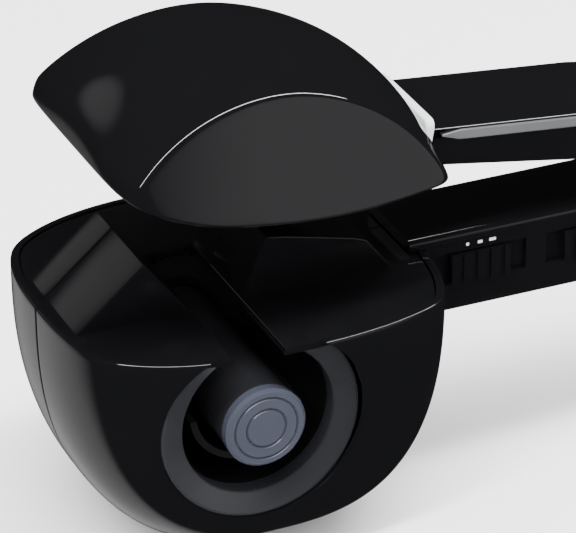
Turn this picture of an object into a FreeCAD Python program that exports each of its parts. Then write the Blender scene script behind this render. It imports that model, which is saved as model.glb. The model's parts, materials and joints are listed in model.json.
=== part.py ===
import FreeCAD, Part
import math
import os
import Sketcher
from FreeCAD import Placement, Rotation, Vector

# Automatic hair curler: two long arms hinged at the tail and a round curling head.
# Frame: +X from the head to the tail hinge, Y along the curl barrel (its free end points to -Y),
# +Z up. The origin is the middle of the small flat on which the bowl rests, under the barrel axis.
# The upper jaw is designed closed, then opened about the hinge pin: the rest pose is open.

SIZES = {
    # head
    "wall": 2.4, "axis_height": 50.0, "rim_height": 75.0, "head_centre": 6.8,
    "front_reach": 56.3, "rear_reach": 58.4, "end_half_width": 60.0, "front_power": 2.6, "rear_power": 3.0,
    "bowl_power": 2.6, "flat_depth": 1.0,
    "side_half_width": 51.5, "side_front": 63.0, "side_rear": 77.0, "side_power": 2.4, "side_draw": 0.22,
    "side_fall": 1.9, "crease_sharpness": 14.0,
    # dome, in the closed pose
    "closed_gap": 0.8, "dome_wall": 2.6, "dome_centre": 6.0, "dome_front": 48.0, "dome_rear": 57.2,
    "dome_half_width": 42.6, "dome_front_power": 6.6, "dome_rear_power": 5.4, "dome_lean": 0.3,
    "arch_rise": 41.5, "arch_centre": 8.2, "arch_front": 53.3, "arch_rear": 56.0, "arch_power": 1.91,
    "arch_crown": 11.6, "belly_x": -8.0, "belly_front": 0.006, "belly_rear": 0.0023,
    # hair slot and guide wedges
    "slot_front": -9.9, "slot_rear": 5.4, "wedge_near": -19.0, "wedge_far": 17.0,
    "ridge_offset": -24.0, "ridge_rise": 17.8, "wedge_front": -45.0, "rear_crest_offset": 13.0,
    "rear_crest_rise": 18.6, "rear_shoulder_offset": 44.0, "rear_shoulder_rise": 11.0, "wedge_rear": 51.5,
    "deck_thick": 2.4, "cover_seam": 5.0, "guide_wall": 2.2,
    # chamber, barrel and winding rotor
    "liner_inner": 23.0, "liner_wall": 2.0, "bezel_outer": 30.0, "bezel_face": -45.0, "bezel_back": -38.0,
    "liner_back": 16.2, "barrel_radius": 11.8, "barrel_bore": 9.6, "barrel_back": 30.0,
    "cap_radius": 12.2, "cap_face": -48.5, "heater_radius": 9.5, "heater_bore": 2.2, "sensor_radius": 1.6,
    "rotor_inner": 15.2, "rotor_outer": 17.2, "rotor_mouth": -34.0, "gear_front": 18.6, "gear_width": 6.0,
    "hub_radius": 13.94, "hub_bore": 12.3, "rotor_bore": 14.0, "plate_front": 26.2, "plate_thick": 2.4,
    "insulator_radius": 17.0, "insulator_thick": 4.0,
    # gear train
    "gear_module": 1.0, "rotor_teeth": 44.0, "idler_teeth": 18.0, "pinion_teeth": 12.0,
    "idler_angle": -20.0, "pinion_angle": -100.0, "idler_pin_radius": 1.5, "run_gap": 0.06,
    "motor_radius": 10.0, "motor_front": -10.0, "motor_back": 16.4, "shaft_radius": 1.0,
    # arms
    "arm_half_width": 14.0, "lower_arm_bottom": 49.6, "lower_arm_top": 79.0, "arm_seam": 75.0,
    "belly_radius": 9.0, "lid_radius": 2.5,
    "arm_start": 46.0, "arm_end": 216.0, "cover_end": 190.0, "arm_wall": 2.2,
    "upper_under": 79.6, "upper_half_width": 17.0, "upper_start": 54.0, "upper_end": 192.0,
    "upper_thin": 13.6, "upper_slope": 0.071, "upper_bend": 120.0, "upper_nose": 1.6,
    "trim_height": 2.6, "trim_depth": 1.8, "crown_height": 3.0,
    # hinge
    "hinge_x": 205.0, "hinge_z": 78.0, "open_angle": 9.6, "knuckle_radius": 8.0, "pin_radius": 2.5,
    "lug_inner": 9.0, "knuckle_half": 8.4, "spring_radius": 4.2, "wire_radius": 0.7, "spring_half": 3.6,
    # switches
    "recess_first": 67.5, "recess_length": 30.0, "recess_pitch": 36.5, "recess_low": 62.0,
    "recess_high": 72.0, "recess_depth": 1.6, "knob_length": 19.0, "knob_height": 9.0, "knob_proud": 1.4,
    "stem_length": 5.0, "stem_height": 3.0, "knob_travel": 4.0,
    # cord swivel
    "swivel_height": 62.0, "swivel_radius": 5.4, "swivel_flange": 7.6, "swivel_nose": 239.0, "cord_bore": 3.3,
    # interlock
    "lock_x": 40.0, "lock_y": 27.0, "plunger_radius": 1.5, "plunger_travel": 2.0, "plunger_proud": 2.4,
}

doc = FreeCAD.newDocument("hair_curler")
sheet = doc.addObject("Spreadsheet::Sheet", "Sizes")
for row, (alias, value) in enumerate(SIZES.items(), start=1):
    sheet.set(f"A{row}", alias)
    sheet.set(f"B{row}", str(value))
    sheet.setAlias(f"B{row}", alias)
doc.recompute()

sub_parts = []
FIT = 0.3
ALONG_Y = Rotation(Vector(1, 0, 0), -90)
ALONG_X = Rotation(Vector(0, 1, 0), 90)
UPRIGHT = Rotation()


def size(alias):
    return float(sheet.get(alias))


def keep(obj, label):
    """Name a finished sub-part."""
    obj.Label = label
    sub_parts.append(obj)
    return obj


def at(obj, x, y, z):
    """Bind an object's position to expressions of the sheet."""
    for letter, text in zip("xyz", (x, y, z)):
        obj.setExpression(f"Placement.Base.{letter}", str(text))
    return obj


def cylinder(radius, length, x, y, z, turn=ALONG_Y):
    """A cylinder that starts at a point and runs along its turned axis."""
    obj = doc.addObject("Part::Cylinder", "cylinder")
    obj.Placement = Placement(Vector(), turn)
    obj.setExpression("Radius", str(radius))
    obj.setExpression("Height", str(length))
    return at(obj, x, y, z)


def box(length, width, height, x, y, z):
    obj = doc.addObject("Part::Box", "box")
    obj.setExpression("Length", str(length))
    obj.setExpression("Width", str(width))
    obj.setExpression("Height", str(height))
    return at(obj, x, y, z)


def cut(base, *tools):
    for tool in tools:
        obj = doc.addObject("Part::Cut", "cut")
        obj.Base, obj.Tool = base, tool
        base = obj
    return base


def fuse(*shapes):
    obj = doc.addObject("Part::MultiFuse", "fuse")
    obj.Shapes = list(shapes)
    return obj


def common(base, tool):
    obj = doc.addObject("Part::Common", "common")
    obj.Base, obj.Tool = base, tool
    return obj


def feature(shape, name="form"):
    obj = doc.addObject("Part::Feature", name)
    obj.Shape = shape
    return obj


def draw_outline(sketch, points):
    corners = [Vector(first, second, 0) for first, second in points]
    for start, end in zip(corners, corners[1:] + corners[:1]):
        sketch.addGeometry(Part.LineSegment(start, end))
    for index in range(len(corners)):
        following = (index + 1) % len(corners)
        sketch.addConstraint(Sketcher.Constraint("Coincident", index, 2, following, 1))


def extruded(points, start, length):
    """A closed outline in X and Z, drawn as a sketch at Y = start and extruded towards +Y."""
    sketch = doc.addObject("Sketcher::SketchObject", "outline")
    sketch.Placement = Placement(Vector(0, size(start), 0), Rotation(Vector(1, 0, 0), 90))
    draw_outline(sketch, points)
    obj = doc.addObject("Part::Extrusion", "extrusion")
    obj.Base = sketch
    obj.DirMode = "Custom"
    obj.Dir = Vector(0, 1, 0)
    obj.Solid = True
    obj.setExpression("LengthFwd", str(length))
    return obj


def new_body(name):
    return doc.addObject("PartDesign::Body", name)


def plane_of(body, role):
    return next(item for item in body.Origin.OriginFeatures if item.Role == role)


def sketch_in(body, role, offset=0.0):
    sketch = body.newObject("Sketcher::SketchObject", "sketch")
    sketch.AttachmentSupport = [(plane_of(body, role), "")]
    sketch.MapMode = "FlatFace"
    sketch.AttachmentOffset = Placement(Vector(0, 0, offset), Rotation())
    return sketch


def draw_circle(sketch, radius):
    """A circle about the sketch's origin, its radius bound to the sheet."""
    sketch.addGeometry(Part.Circle(Vector(), Vector(0, 0, 1), 1.0))
    sketch.addConstraint(Sketcher.Constraint("Coincident", 0, 3, -1, 1))
    index = sketch.addConstraint(Sketcher.Constraint("Radius", 0, 1.0))
    sketch.setExpression(f"Constraints[{index}]", radius)


def turned(body, points):
    """A body turned about its own Z axis from an outline of radius and height."""
    sketch = sketch_in(body, "XZ_Plane")
    draw_outline(sketch, points)
    turn = body.newObject("PartDesign::Revolution", "turn")
    turn.Profile = sketch
    turn.ReferenceAxis = (sketch, ["V_Axis"])
    turn.Angle = 360.0
    body.Tip = turn
    return turn


# ---- the forms of the head -------------------------------------------------------------

OUTLINE_POINTS = 72
OUTLINE_START = math.radians(135)  # the outline closes at a rounded front corner, clear of every opening


def signed_power(value, power):
    return math.copysign(abs(value) ** power, value)


def oval_reach(along, across, half_length, half_width, power):
    """How far a squared-off oval reaches in a direction."""
    return ((abs(along) / half_length) ** power + (abs(across) / half_width) ** power) ** (-1 / power)


def smooth_loop(points):
    curve = Part.BSplineCurve()
    curve.interpolate(Points=points, PeriodicFlag=True)
    return Part.Wire(curve.toShape())


def turns_round():
    """Directions round the head's outline."""
    for step in range(OUTLINE_POINTS):
        yield OUTLINE_START + 2 * math.pi * (step + 0.5) / OUTLINE_POINTS


def bowl_wire(height, inset):
    """The bowl's outline at a height: rounded ends, flatter sides, and a crease where they meet."""
    rim = size("rim_height")
    power = size("bowl_power")
    share = (rim - height) / (rim + size("flat_depth") - inset)
    scale = (1 - share ** power) ** (1 / power)
    side = size("side_half_width") * (1 - size("side_draw") * ((rim - height) / rim) ** size("side_fall"))
    sharpness = size("crease_sharpness")
    points = []
    for turn in turns_round():
        along, across = math.cos(turn), math.sin(turn)
        end = "rear" if along > 0 else "front"
        end_reach = oval_reach(along, across, size(f"{end}_reach") * scale - inset,
                               size("end_half_width") * scale - inset, size(f"{end}_power"))
        side_reach = oval_reach(along, across, size(f"side_{end}") - inset, side - inset, size("side_power"))
        reach = (end_reach ** -sharpness + side_reach ** -sharpness) ** (-1 / sharpness)
        points.append(Vector(size("head_centre") + reach * along, reach * across, height))
    return smooth_loop(points)


def bowl_form(inset, top):
    """The bowl as a solid, drawn in by inset all round, and carried straight up to top."""
    low = inset
    rim = size("rim_height")
    shares = (0.0, 0.03, 0.09, 0.2, 0.34, 0.5, 0.66, 0.8, 0.9, 0.96, 1.0)
    wires = [bowl_wire(low + share * (rim - low), inset) for share in shares]
    solid = Part.makeLoft(wires, True, False)
    if top > rim:
        face = Part.Face(wires[-1])
        solid = solid.fuse(face.extrude(Vector(0, 0, top - rim)))
    return solid


def dome_rim():
    return size("rim_height") + size("closed_gap")


def dome_arch(inset):
    """Everything under the dome's arched and slightly crowned top."""
    rows, columns = 26, 9
    margin = 0.03
    half = size("dome_half_width")
    grid = []
    for row in range(rows):
        turn = margin + (math.pi - 2 * margin) * row / (rows - 1)
        end = size("arch_front") if math.cos(turn) < 0 else size("arch_rear")
        x = size("arch_centre") + (end - inset) * signed_power(math.cos(turn), 2 / size("arch_power"))
        z = dome_rim() + (size("arch_rise") - inset) * math.sin(turn) ** (2 / size("arch_power"))
        line = []
        for column in range(columns):
            y = half * (2 * column / (columns - 1) - 1)
            line.append(Vector(x, y, z - size("arch_crown") * (y / half) ** 2))
        grid.append(line)
    surface = Part.BSplineSurface()
    surface.interpolate(grid)
    return surface.toShape().extrude(Vector(0, 0, -2 * size("arch_rise")))


def dome_side(inset, bottom):
    """A long prism from the mid-plane out to the dome's leaning far side."""
    half, lean = size("dome_half_width") - inset, size("dome_lean")
    top = dome_rim() + size("arch_rise")
    low_half, high_half = (half - lean * (height - dome_rim()) for height in (bottom, top))
    corners = [Vector(-FAR, y, z) for y, z in ((0, bottom), (low_half, bottom), (high_half, top), (0, top))]
    face = Part.Face(Part.makePolygon(corners + corners[:1]))
    return face.extrude(Vector(2 * FAR, 0, 0))


def dome_plan(inset, bottom):
    """An upright prism on the dome's outline."""
    half = size("dome_half_width") - inset
    points = []
    for turn in turns_round():
        along, across = math.cos(turn), math.sin(turn)
        end = "rear" if along > 0 else "front"
        reach = oval_reach(along, across, size(f"dome_{end}") - inset, half, size(f"dome_{end}_power"))
        points.append(Vector(size("dome_centre") + reach * along, reach * across, bottom))
    face = Part.Face(smooth_loop(points))
    return face.extrude(Vector(0, 0, 2 * size("arch_rise")))


def dome_form(inset, bottom):
    """The dome as a solid in the closed pose, drawn in by inset, and carried down to bottom."""
    half = dome_arch(inset).common(dome_side(inset, bottom)).common(dome_plan(inset, bottom))
    return half.fuse(half.mirror(Vector(), Vector(0, 1, 0)))


def under_belly():
    """Everything under the dome's lower edge, which curves up towards its front and rear."""
    belly, rim = size("belly_x"), dome_rim()
    left, right, steps = -60.0, 90.0, 13
    edge = []
    for step in range(steps):
        x = left + (right - left) * step / (steps - 1)
        curl = size("belly_rear") if x > belly else size("belly_front")
        edge.append(Vector(x, -FAR, rim + curl * (x - belly) ** 2))
    curve = Part.BSplineCurve()
    curve.interpolate(edge)
    low = rim - 10
    rest = Part.makePolygon([edge[-1], Vector(right, -FAR, low), Vector(left, -FAR, low), edge[0]])
    face = Part.Face(Part.Wire([curve.toShape()] + rest.Edges))
    return feature(face.extrude(Vector(0, 2 * FAR, 0)))


FAR = 120.0
OPEN = Placement(
    Vector(), Rotation(Vector(0, 1, 0), size("open_angle")), Vector(size("hinge_x"), 0, size("hinge_z"))
)


def open_jaw(obj):
    """Swing a piece of the upper jaw from its closed place to the open rest pose."""
    obj.Placement = OPEN.multiply(obj.Placement)
    return obj


def slot_box(top):
    """The hair slot: open towards -Y, down to the barrel axis."""
    length = "Sizes.slot_rear - Sizes.slot_front"
    width = f"Sizes.wedge_far + {FAR}"
    return box(length, width, f"{top} - Sizes.axis_height", "Sizes.slot_front", -FAR, "Sizes.axis_height")


def half_space(near):
    """A large box on one side of the mid-plane seam."""
    start = "0" if not near else -FAR
    return box(2 * FAR + 100, FAR, 2 * FAR, -FAR, start, -FAR / 2)


# ---- lower head -------------------------------------------------------------------------

def bowl_shells():
    rim = size("rim_height")
    outer = bowl_form(0.0, rim)
    inner = bowl_form(size("wall"), rim + 5)
    for label, near in (("bowl_shell_near", True), ("bowl_shell_far", False)):
        shell = common(cut(feature(outer), feature(inner)), half_space(near))
        passage = box(30, "2 * Sizes.arm_half_width - 6", 18, 48, "3 - Sizes.arm_half_width", 54)
        tools = [passage]
        if near:
            tools.append(slot_box("Sizes.rim_height + 9"))
            tools.append(cylinder(f"Sizes.bezel_outer + {FIT}", 60, 0, -90, "Sizes.axis_height"))
        keep(cut(shell, *tools), label)


def wedge_profiles():
    """Outlines in X and Z of the front tent and the rear hump above the deck."""
    deck = size("rim_height") - 0.4
    ledge = 0.5
    front = [
        (size("wedge_front"), deck),
        (size("ridge_offset"), deck + size("ridge_rise")),
        (size("slot_front") - ledge, deck),
    ]
    rear = [
        (size("slot_rear") + ledge, deck),
        (size("rear_crest_offset"), deck + size("rear_crest_rise")),
        (size("rear_shoulder_offset"), deck + size("rear_shoulder_rise")),
        (size("wedge_rear"), deck),
    ]
    return front, rear


def shrunk(points, amount):
    """A wedge's outline drawn in by about a wall and dropped below the deck, to hollow it."""
    base = min(point[1] for point in points)
    middle_x = (points[0][0] + points[-1][0]) / 2
    crest = [point for point in points if point[1] > base]
    result = []
    for x, z in points:
        moves = z == base or len(crest) > 1
        shift = math.copysign(amount * 1.4, x - middle_x) if moves else 0
        result.append((x - shift, z - amount * 1.6 if z > base else base - size("deck_thick") - 1))
    return result


def guide_covers():
    """The deck inside the rim with its two guide wedges, split along a seam beside the mid-plane."""
    low = size("rim_height") - 0.4 - size("deck_thick")
    inset = size("wall") + FIT
    deck_face = Part.Face(bowl_wire(low, inset))
    slab = feature(deck_face.extrude(Vector(0, 0, size("deck_thick"))))
    length = "Sizes.wedge_far - Sizes.wedge_near"
    front, rear = wedge_profiles()
    tents = [extruded(points, "wedge_near", length) for points in (front, rear)]
    hollows = []
    for points in (front, rear):
        hollow_length = f"{length} - 2 * Sizes.guide_wall"
        hollow = extruded(shrunk(points, size("guide_wall")), "wedge_near", hollow_length)
        hollow.Placement = Placement(Vector(0, size("guide_wall"), 0), Rotation())
        hollows.append(hollow)
    plunger_hole = cylinder(
        f"Sizes.plunger_radius + {FIT}", 20, "Sizes.lock_x", "Sizes.lock_y", "Sizes.rim_height - 10", UPRIGHT
    )
    gear_room = cylinder("Sizes.liner_inner + 0.5", "Sizes.gear_width + 2", 0, "Sizes.gear_front - 1",
                         "Sizes.axis_height")
    deck = fuse(cut(slab, plunger_hole), *tents)
    whole = cut(deck, *hollows, slot_box("Sizes.rim_height + 9"), gear_room)
    near_front = box(FAR, FAR, 2 * FAR, -FAR, f"Sizes.cover_seam - {FAR}", -20)
    near_rear = box(FAR, FAR, 2 * FAR, 0, f"Sizes.cover_seam - {FAR}", -20)
    far = box(2 * FAR, FAR, 2 * FAR, -FAR, "Sizes.cover_seam", -20)
    keep(common(whole, near_front), "guide_front_near")
    keep(common(whole, near_rear), "guide_rear_near")
    keep(common(whole, far), "guide_cover_far")


def chamber():
    """The C-shaped bezel and the liner trough round the barrel, both open under the slot."""
    height = "Sizes.axis_height"
    ring = cylinder("Sizes.bezel_outer", "Sizes.bezel_back - Sizes.bezel_face", 0, "Sizes.bezel_face", height)
    hole = cylinder("Sizes.liner_inner", 100, 0, -60, height)
    slot = slot_box("Sizes.rim_height + 9")
    ceiling = box(FAR, 2 * FAR, 30, -FAR / 2, -FAR, "Sizes.rim_height - 3")
    keep(cut(ring, hole, slot, ceiling), "chamber_bezel")
    tube_length = "Sizes.liner_back - Sizes.bezel_back"
    tube = cylinder("Sizes.liner_inner + Sizes.liner_wall", tube_length, 0, "Sizes.bezel_back", height)
    keep(cut(tube, hole, slot, ceiling), "chamber_liner")


def barrel():
    height = "Sizes.axis_height"
    length = "Sizes.barrel_back - Sizes.bezel_face"
    tube = cylinder("Sizes.barrel_radius", length, 0, "Sizes.bezel_face", height)
    bore = cylinder("Sizes.barrel_bore", f"{length} + 2", 0, "Sizes.bezel_face - 1", height)
    keep(cut(tube, bore), "curl_barrel")

    body = new_body("cap")
    radius, thick = size("cap_radius"), size("bezel_face") - size("cap_face")
    rings = [(0, thick), (radius, thick), (radius, 1.0), (radius - 0.9, 0.1)]
    groove, width, depth = 0.45, 0.9, 0.7
    for share in (0.74, groove):
        edge = radius * share
        rings += [(edge + width, 0.1), (edge + width / 2, depth), (edge, 0.1)]
    rings.append((0, 0.1))
    turned(body, rings)
    body.Placement = Placement(Vector(0, size("cap_face") - 0.1, size("axis_height")), ALONG_Y)
    keep(body, "barrel_end_cap")

    core_length = "Sizes.barrel_back - Sizes.bezel_face - 8"
    core = cylinder("Sizes.heater_radius", core_length, 0, "Sizes.bezel_face + 4", height)
    core_bore = cylinder("Sizes.heater_bore", 100, 0, -60, height)
    keep(cut(core, core_bore), "heater_core")
    keep(cylinder("Sizes.sensor_radius", 40, 0, -20, height), "temperature_sensor")

    flange_front = "Sizes.plate_front + Sizes.plate_thick"
    flange = cylinder("Sizes.insulator_radius", "Sizes.insulator_thick", 0, flange_front,
                      height)
    recess = cylinder("Sizes.barrel_radius", 100, 0, -70 + 0.1, height)
    keep(cut(flange, recess), "barrel_insulator")


# ---- winding rotor and gear train ---------------------------------------------------------

def polar(distance, angle):
    return distance * math.cos(math.radians(angle)), distance * math.sin(math.radians(angle))


def idler_place():
    distance = size("gear_module") * (size("rotor_teeth") + size("idler_teeth")) / 2
    x, z = polar(distance, size("idler_angle"))
    return x, size("axis_height") + z


def pinion_place():
    distance = size("gear_module") * (size("idler_teeth") + size("pinion_teeth")) / 2
    x, z = polar(distance, size("pinion_angle"))
    idler_x, idler_z = idler_place()
    return idler_x + x, idler_z + z


def gear(name, teeth, bore, front, place, phase):
    """A spur gear with straight-flanked teeth; its first tooth stands at phase degrees from +X."""
    module = size("gear_module")
    pitch = module * teeth / 2
    body = new_body(name)
    disc = sketch_in(body, "XY_Plane")
    root = pitch - 1.2 * module
    disc.addGeometry(Part.Circle(Vector(), Vector(0, 0, 1), root))
    blank = body.newObject("PartDesign::Pad", "blank")
    blank.Profile = disc
    blank.setExpression("Length", "Sizes.gear_width")
    half_pitch = math.pi * module / 4
    tip = pitch + 0.85 * module
    flanks = ((root - 0.3, half_pitch * 1.42), (pitch, half_pitch * 0.86), (tip, half_pitch * 0.4))
    tooth = sketch_in(body, "XY_Plane")
    outline = list(flanks) + [(radius, -half) for radius, half in reversed(flanks)]
    draw_outline(tooth, outline)
    pad = body.newObject("PartDesign::Pad", "tooth")
    pad.Profile = tooth
    pad.setExpression("Length", "Sizes.gear_width")
    doc.recompute()
    pattern = body.newObject("PartDesign::PolarPattern", "teeth")
    pattern.Originals = [pad]
    pattern.Axis = (disc, ["N_Axis"])
    pattern.Angle = 360.0
    pattern.Occurrences = int(teeth)
    body.Tip = pattern
    if bore:
        hole = sketch_in(body, "XY_Plane")
        draw_circle(hole, bore)
        pocket = body.newObject("PartDesign::Pocket", "bore")
        pocket.Profile = hole
        pocket.Type = "ThroughAll"
        pocket.Reversed = True
        body.Tip = pocket
    x, z = place
    spin = Rotation(Vector(0, 1, 0), -phase)
    body.Placement = Placement(Vector(x, front, z), spin.multiply(ALONG_Y))
    return body


def gear_train():
    front = size("gear_front")
    axis = (0.0, size("axis_height"))
    ring = gear("ring_gear", size("rotor_teeth"), "Sizes.rotor_bore", front, axis, size("idler_angle"))
    sleeve_length = "Sizes.gear_front - Sizes.rotor_mouth + 0.5"
    height = "Sizes.axis_height"
    tube = cylinder("Sizes.rotor_outer", sleeve_length, 0, "Sizes.rotor_mouth", height)
    bore = cylinder("Sizes.rotor_inner", 200, 0, -100, height)
    gap = box(80, 200, 80, -40, -100, "Sizes.axis_height - 2")
    keep(fuse(ring, cut(tube, bore, gap)), "winding_rotor")

    # the idler's tooth gap faces the ring gear's first tooth
    half_tooth = 180.0 / size("idler_teeth")
    idler_phase = 180 + size("idler_angle") + half_tooth
    idler = gear("idler", size("idler_teeth"), "Sizes.idler_pin_radius + Sizes.run_gap", front, idler_place(),
                 idler_phase)
    keep(idler, "idler_gear")
    offset = (size("pinion_angle") - idler_phase) * size("idler_teeth") / 360.0
    share = offset - math.floor(offset)
    pinion_step = 360.0 / size("pinion_teeth")
    pinion_phase = size("pinion_angle") + 180 + pinion_step * (0.5 + share)
    pinion = gear("pinion", size("pinion_teeth"), None, front, pinion_place(), pinion_phase)
    x, z = pinion_place()
    shaft = cylinder("Sizes.shaft_radius", 12, x, "Sizes.gear_front - 11", z)
    keep(fuse(pinion, shaft), "motor_pinion")


def gearbox():
    x, z = pinion_place()
    idler_x, idler_z = idler_place()
    height = "Sizes.axis_height"
    can = cylinder("Sizes.motor_radius", "Sizes.motor_back - Sizes.motor_front", x, "Sizes.motor_front", z)
    boss = cylinder("Sizes.shaft_radius + Sizes.run_gap", 40, x, "Sizes.gear_front - 12", z)
    keep(cut(can, boss), "motor")
    bracket = box(30, 1.5, 26, x - 14, "Sizes.motor_back + 0.1", z - 12)
    relief = cylinder("Sizes.liner_inner + Sizes.liner_wall + 0.2", 100, 0, -50, height)
    inside = feature(bowl_form(size("wall") + FIT, size("rim_height")))
    shaft_hole = cylinder("Sizes.shaft_radius + 1", 40, x, 0, z)
    keep(common(cut(bracket, shaft_hole, relief), inside), "motor_bracket")

    ceiling = box(2 * FAR, 2 * FAR, 60, -FAR, -FAR, "Sizes.rim_height - Sizes.deck_thick - 1")
    slab = box(65, "Sizes.plate_thick", 66, -31, "Sizes.plate_front", 8)
    plate = cut(common(slab, inside), ceiling)
    hub = cylinder("Sizes.hub_radius", "Sizes.plate_front - Sizes.gear_front + 1.2", 0,
                   "Sizes.gear_front - 1.2", height)
    bore = cylinder("Sizes.hub_bore", 200, 0, -100, height)
    idler_seat = cylinder("Sizes.idler_pin_radius", 40, idler_x, 10, idler_z)
    keep(cut(fuse(plate, hub), bore, idler_seat), "gear_plate")
    pin_length = "Sizes.plate_front + Sizes.plate_thick - Sizes.gear_front + 0.6"
    pin = cylinder("Sizes.idler_pin_radius", pin_length, idler_x, "Sizes.gear_front - 0.6", idler_z)
    keep(pin, "idler_pin")


# ---- lower arm ----------------------------------------------------------------------------

def rounded_section(x, half, low, high, low_radius, high_radius):
    """A closed wire in a plane of constant X with two pairs of rounded corners."""
    low_corners = [(-half, low, low_radius), (half, low, low_radius)]
    corners = low_corners + [(half, high, high_radius), (-half, high, high_radius)]
    edges, ends = [], []
    for index, (y, z, radius) in enumerate(corners):
        side_y, side_z = math.copysign(1, y), (1 if index > 1 else -1)
        centre = Vector(x, y - side_y * radius, z - side_z * radius)
        along = Vector(0, side_y * radius, 0)
        up = Vector(0, 0, side_z * radius)
        middle = (along + up) * math.sqrt(0.5)
        first, last = (centre + along, centre + up) if index % 2 == 0 else (centre + up, centre + along)
        edges.append(Part.Arc(first, centre + middle, last).toShape())
        ends.append((first, last))
    for index in range(4):
        edges.append(Part.LineSegment(ends[index][1], ends[(index + 1) % 4][0]).toShape())
    return Part.Wire(Part.__sortEdges__(edges))


def arm_solid(start, end, half, low, high, low_radius, high_radius):
    face = Part.Face(rounded_section(start, half, low, high, low_radius, high_radius))
    return face.extrude(Vector(end - start, 0, 0))


SCREW_PLACES = (70.0, 124.0, 176.0)


def hinge_hole(radius):
    """A hole for the hinge pin, right through both arms."""
    return cylinder(radius, 60, "Sizes.hinge_x", -30, "Sizes.hinge_z")


def hinge_room():
    """Room for the upper arm's knuckle to turn in."""
    return cylinder("Sizes.knuckle_radius + 0.8", "2 * Sizes.knuckle_half + 0.8", "Sizes.hinge_x",
                    "-Sizes.knuckle_half - 0.4", "Sizes.hinge_z")


def arm_recesses():
    """The three finger recesses in the arm's near side, each with a slot through for its knob's stem."""
    recesses = []
    slot_length = "(Sizes.stem_length + 2 * Sizes.knob_travel + 1)"
    slot_height = "Sizes.stem_height + 0.6"
    slot_low = "(Sizes.recess_low + Sizes.recess_high) / 2 - Sizes.stem_height / 2 - 0.3"
    for number in range(3):
        x = f"Sizes.recess_first + {number} * Sizes.recess_pitch"
        slot_start = f"{x} + Sizes.recess_length / 2 - {slot_length} / 2"
        height = "Sizes.recess_high - Sizes.recess_low"
        recesses.append(box("Sizes.recess_length", "Sizes.recess_depth", height, x, "-Sizes.arm_half_width",
                            "Sizes.recess_low"))
        recesses.append(box(slot_length, 8, slot_height, slot_start, "-Sizes.arm_half_width", slot_low))
    return recesses


def hinge_lugs():
    """A cheek each side of the knuckle: a disc round the pin with a web down into the arm."""
    width = "Sizes.arm_half_width - Sizes.lug_inner - 1"
    web_height = "Sizes.hinge_z - Sizes.arm_seam + 8"
    web_start = "Sizes.hinge_x - Sizes.knuckle_radius"
    lugs = []
    for y in ("1 - Sizes.arm_half_width", "Sizes.lug_inner"):
        lugs.append(cylinder("Sizes.knuckle_radius", width, "Sizes.hinge_x", y, "Sizes.hinge_z"))
        lugs.append(box("2 * Sizes.knuckle_radius", width, web_height, web_start, y, "Sizes.arm_seam - 8"))
    return lugs


def lower_arm():
    """The lower arm: an open trough with its recesses, screw places and hinge cheeks."""
    half, wall, radius = size("arm_half_width"), size("arm_wall"), size("belly_radius")
    low, seam = size("lower_arm_bottom"), size("arm_seam")
    start, end = size("arm_start"), size("arm_end")
    outside = feature(arm_solid(start, end, half, low, seam + 3, radius, 2.0))
    inside = feature(arm_solid(start - 1, end - wall - 1, half - wall, low + wall, seam + 6, radius - 2, 1.0))
    above = box(300, 60, 30, 0, -30, "Sizes.arm_seam")
    bowl = feature(bowl_form(-FIT / 2, size("rim_height") + 8))
    swivel_hole = cylinder(
        "Sizes.swivel_radius + Sizes.run_gap", 30, "Sizes.arm_end - 10", 0, "Sizes.swivel_height", ALONG_X
    )
    pilots = [cylinder(1.2, 8, x, 0, "Sizes.lower_arm_bottom - 0.1", UPRIGHT) for x in SCREW_PLACES]
    heads = [cylinder(2.7, 1.3, x, 0, "Sizes.lower_arm_bottom - 1.1", UPRIGHT) for x in SCREW_PLACES]
    trough = cut(outside, above, inside, bowl, swivel_hole, *pilots, *heads, *arm_recesses())
    window = cylinder(1.6, 10, "Sizes.recess_first + 3 * Sizes.recess_pitch", "-Sizes.arm_half_width - 1",
                      "(Sizes.recess_low + Sizes.recess_high) / 2")
    cuts = (window, hinge_room(), hinge_hole("Sizes.pin_radius"))
    keep(cut(fuse(trough, *hinge_lugs()), *cuts), "lower_arm_shell")


def lower_lid():
    """The lid that closes the trough from the bowl to just short of the hinge."""
    half, low, top = size("arm_half_width"), size("lower_arm_bottom"), size("lower_arm_top")
    outside = feature(arm_solid(size("arm_start"), size("cover_end"), half, low, top, size("belly_radius"),
                                size("lid_radius")))
    below = box(300, 60, 60, 0, -30, "Sizes.arm_seam - 60")
    hollow = box("Sizes.cover_end - 63", "2 * (Sizes.arm_half_width - Sizes.wall)",
                 "Sizes.lower_arm_top - Sizes.arm_seam - 1.6", 60, "Sizes.wall - Sizes.arm_half_width",
                 "Sizes.arm_seam")
    head_room = box(14, 80, 20, 40, -40, "Sizes.arm_seam - 2")
    rim_room = feature(bowl_form(-FIT / 2, size("rim_height") + 0.2))
    keep(cut(outside, below, hollow, rim_room, head_room, hinge_room()), "lower_arm_cover")


def knob_slot_centre(number):
    return f"(Sizes.recess_first + Sizes.recess_length / 2 + {number} * Sizes.recess_pitch)"


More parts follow.
